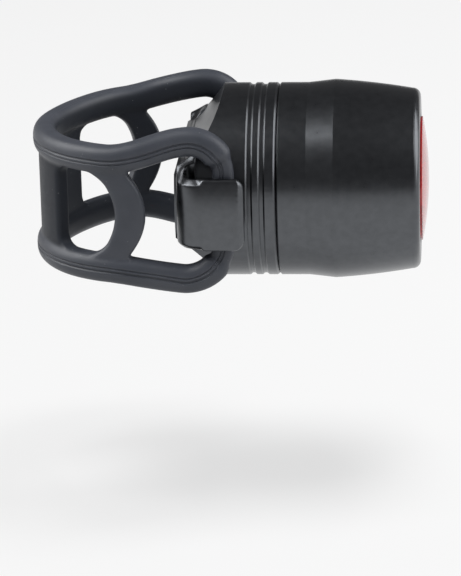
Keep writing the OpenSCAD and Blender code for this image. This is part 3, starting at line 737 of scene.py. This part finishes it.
def hook_wall():
    """A hook's plan from its root to its plate.

    Each step has its outer and inner point, how far it faces sideways, and its way along.
    """
    half = SLOT_W / 2
    walls = []
    in_root = np.linspace(ROOT_START, BODY_R, ROOT_STEPS)
    past_body = np.linspace(BODY_R, SLOT_END[1], WALL_STEPS)[1:]
    for y in np.concatenate([in_root, past_body]):
        in_x = SLOT_END[0] - math.sqrt(max(0.0, half ** 2 - (y - SLOT_END[1]) ** 2))
        rise = max(0.0, y - BEND_MID[1])
        out_x = BEND_MID[0] - math.sqrt(BEND_R ** 2 - rise ** 2)
        walls.append(((out_x, y), (in_x if y > BODY_R else SLOT_END[0], y), 0.0, y))
    first = math.asin((SLOT_END[1] - BEND_MID[1]) / BEND_R)
    for k in np.linspace(0.0, 1.0, BEND_STEPS)[1:]:
        a, b = first + (math.pi / 2 - first) * k, math.pi / 2 * k
        outer = BEND_MID[0] - BEND_R * math.cos(a), BEND_MID[1] + BEND_R * math.sin(a)
        inner = SLOT_END[0] - half * math.cos(b), SLOT_END[1] + half * math.sin(b)
        walls.append((outer, inner, ease(k), SLOT_END[1] + BEND_ALONG * k))
    return walls


def hook_plate():
    """Rings along a hook's plate, with round corners and a bevel at its free end."""
    corner_x, bevel_x = HOOK_LEN - PLATE_CORNER, HOOK_LEN - FREE_BEVEL
    turns = [math.pi / 2 * k / CORNER_STEPS for k in range(1, CORNER_STEPS + 1)]
    runs = list(np.linspace(BEND_MID[0] + PLATE_START, corner_x, PLATE_STEPS)) + [bevel_x]
    runs += [corner_x + PLATE_CORNER * math.sin(a) for a in turns]
    rings = []
    for x in sorted(runs):
        past = max(0.0, x - corner_x)
        round_off = math.sqrt(max(0.0, PLATE_CORNER ** 2 - past * past))
        high = PLATE_H / 2 - PLATE_CORNER + round_off
        heights = high, high - PLATE_ROUND
        outer = x, PLATE_OUT - max(0.0, x - bevel_x)
        rings.append(hook_section(outer, (x, SLOT_OUT), 1.0, heights, heights, 1.0))
    return rings


def hook(side):
    """A strap hook from its root in the cap round its bend to the free end of its plate."""
    rings = []
    for outer, inner, way, along in hook_wall():
        ramp_in, crest = falling(along, *TOP_FALL), falling(along, *CREST_FALL)
        ramp_out = falling(along, *EDGE_FALL) * rising(along, *EDGE_RISE)
        tops = (
            BEND_TOP + ROOT_TOP * ramp_in + ROOT_CREST * crest,
            BEND_EDGE + ROOT_EDGE * ramp_out,
        )
        bottoms = BEND_TOP + ROOT_LOW * ramp_in, BEND_EDGE + ROOT_LOW * ramp_out
        rings.append(hook_section(outer, inner, way, tops, bottoms, 0.0))
    rings = [ring * (1, side, 1) for ring in rings + hook_plate()]
    obj = mesh_object("hook", *tube(rings, False), ANODISED)
    blend(obj, HOOK_VOXEL, HOOK_SMOOTHING)
    return obj


def combine_ring(obj, name, profile, operation):
    """Combines a turned ring with an object."""
    combine(obj, mesh_object(name, *lathe(profile), ANODISED), operation)


def cap():
    """The base cap's solid with wider groove walls, a wider parting bevel and rounder hooks."""
    solid = NODES["base_cap"]
    mesh = solid.data.copy()
    mesh.transform(solid.matrix_world)
    # The solid's stored normals don't fit the new faces
    if "custom_normal" in mesh.attributes:
        mesh.attributes.remove(mesh.attributes["custom_normal"])
    work = bmesh.new()
    work.from_mesh(mesh)
    bmesh.ops.remove_doubles(work, verts=work.verts, dist=WELD * MM)
    work.to_mesh(mesh)
    work.free()
    obj = in_scene("cap_body", mesh)
    combine_ring(obj, "turned", [
        (TURNED_FROM, TURNED_BORE), (TURNED_FROM, TURNED_R),
        (TURNED_TO, TURNED_R), (TURNED_TO, TURNED_BORE),
    ], "INTERSECT")
    floor_half = GROOVE_FLOOR / 2
    top_half = floor_half + GROOVE_WALL * (1 + GROOVE_PAST)
    deep, above = BODY_R - GROOVE_DEPTH, BODY_R + GROOVE_PAST * GROOVE_DEPTH
    for x in GROOVES:
        mid = x + GROOVE_HALF
        combine_ring(obj, "groove", [
            (mid - top_half, above), (mid - floor_half, deep),
            (mid + floor_half, deep), (mid + top_half, above),
        ], "DIFFERENCE")
    combine_ring(obj, "bevel", [
        (BASE_LEN - BEVEL_RUN, BODY_R + BEVEL_PAST),
        (BASE_LEN + BEVEL_PAST, BODY_R - BEVEL_DROP),
        (BASE_LEN + BEVEL_PAST, BODY_R + BEVEL_PAST),
    ], "DIFFERENCE")
    for side in (1, -1):
        combine(obj, hook(side), "UNION")
    dress(obj, ANODISED)
    obj.data.set_sharp_from_angle(angle=math.radians(SHARP_ANGLE))
    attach(obj, "base")
    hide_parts("base_cap")


cap()


# Stage, light and camera, in metres

FLOOR_Z, FLOOR_HALF, FLOOR_GLOW = -42.0 * MM, 4.0, 0.7
LIGHT_AIM = Vector((8.0 * MM, 0.0, 0.0))
WORLD_LEVEL, WORLD_BLUE = 0.13, 1.03


def floor():
    """A pale floor that camera, mirror and lens rays see with a white glow."""
    mat, tree, shader = material("floor", (0.8, 0.8, 0.8), 0.9)
    darker, lighter = (0.795, 0.795, 0.795), (0.805, 0.805, 0.805)
    tone = ramp(tree, noise(tree, scale=3.0), [(0.0, darker), (1.0, lighter)])
    tree.links.new(tone, shader.inputs["Base Color"])
    glow = tree.nodes.new("ShaderNodeEmission")
    glow.inputs["Color"].default_value = (1.0, 1.0, 1.0, 1.0)
    glow.inputs["Strength"].default_value = 1.0
    path = tree.nodes.new("ShaderNodeLightPath")
    seen = path.outputs["Is Camera Ray"]
    for kind in ("Is Glossy Ray", "Is Transmission Ray"):
        seen = maths(tree, "MAXIMUM", seen, path.outputs[kind])
    share = tree.nodes.new("ShaderNodeMath")
    share.operation = "MULTIPLY"
    share.inputs[1].default_value = FLOOR_GLOW
    tree.links.new(seen, share.inputs[0])
    mix = tree.nodes.new("ShaderNodeMixShader")
    tree.links.new(share.outputs[0], mix.inputs["Fac"])
    tree.links.new(shader.outputs["BSDF"], mix.inputs[1])
    tree.links.new(glow.outputs["Emission"], mix.inputs[2])
    tree.links.new(mix.outputs["Shader"], tree.nodes["Material Output"].inputs["Surface"])
    mesh = bpy.data.meshes.new("floor")
    corners = [(-1, -1), (1, -1), (1, 1), (-1, 1)]
    mesh.from_pydata(
        [(x * FLOOR_HALF, y * FLOOR_HALF, FLOOR_Z) for x, y in corners], [], [(0, 1, 2, 3)]
    )
    mesh.materials.append(mat)
    obj = in_scene("floor", mesh)
    return obj


GROUND = floor()


def area_light(
    name, direction, distance, size, power,
    floor_state="EXCLUDE", in_gloss=True, in_diffuse=True,
):
    """A square soft light that looks at the object.

    floor_state EXCLUDE leaves the floor out, and INCLUDE lights only the floor.
    """
    lamp = bpy.data.lights.new(name, "AREA")
    lamp.shape = "SQUARE"
    lamp.size = size
    lamp.energy = power
    obj = in_scene(name, lamp)
    away = Vector(direction).normalized()
    obj.location = LIGHT_AIM + away * distance
    obj.rotation_mode = "QUATERNION"
    obj.rotation_quaternion = (-away).to_track_quat("-Z", "Y")
    obj.visible_glossy = in_gloss
    obj.visible_diffuse = in_diffuse
    group = bpy.data.collections.new(name + "_receivers")
    group.objects.link(GROUND)
    group.collection_objects[0].light_linking.link_state = floor_state
    obj.light_linking.receiver_collection = group


def world(level, blue):
    """An even surrounding light, a little bluish."""
    scene_world = bpy.data.worlds.new("studio")
    bpy.context.scene.world = scene_world
    scene_world.use_nodes = True
    back = scene_world.node_tree.nodes["Background"]
    back.inputs["Color"].default_value = (level, level, level * blue, 1.0)
    back.inputs["Strength"].default_value = 1.0


def camera():
    """The photograph's view, levelled on the body's axis.

    It looks from a little to the lens's side, from above and far away. The distance is in
    millimetres and the scale in pixels of the photograph a millimetre.
    """
    azimuth, elevation, roll = math.radians(4.2), math.radians(19.2), math.radians(1.4)
    distance, scale = 500.0, 7.1
    image_w, image_h = 461.0, 576.0
    origin_x, origin_y = 182.0, 178.4
    level = math.cos(elevation)
    look = Vector((-math.sin(azimuth) * level, math.cos(azimuth) * level, -math.sin(elevation)))
    right = Vector((math.cos(azimuth), math.sin(azimuth), 0.0))
    up = right.cross(look)
    cos, sin = math.cos(roll), math.sin(roll)
    right, up = right * cos - up * sin, up * cos + right * sin
    aim = right * (image_w / 2 - origin_x) / scale - up * (image_h / 2 - origin_y) / scale
    place = (aim - look * distance) * MM
    data = bpy.data.cameras.new("camera")
    data.sensor_fit = "AUTO"
    data.sensor_width = 36.0
    data.lens = scale * distance * data.sensor_width / image_h
    data.clip_start, data.clip_end = 0.01, 50.0
    obj = in_scene("camera", data)
    turn = Matrix((right, up, -look)).transposed()
    obj.matrix_world = Matrix.Translation(place) @ turn.to_4x4()
    bpy.context.scene.camera = obj


area_light(
    "left", (-0.86, 0.08, 0.47), distance=0.75, size=0.6, power=4.2, in_diffuse=False
)
area_light("right", (0.82, 0.05, 0.5), distance=0.75, size=0.75, power=4.8)
area_light("top", (-0.6, -0.18, 0.78), distance=0.62, size=0.4, power=2.2)
area_light(
    "front", (-0.1, -0.45, 0.9), distance=0.7, size=0.5, power=2.4, in_gloss=False
)
area_light(
    "shadow", (0.2, 0.1, 1.0), distance=0.62, size=0.3, power=4.2,
    floor_state="INCLUDE", in_gloss=False,
)
world(WORLD_LEVEL, WORLD_BLUE)
camera()
bpy.context.scene.view_settings.view_transform = "Standard"
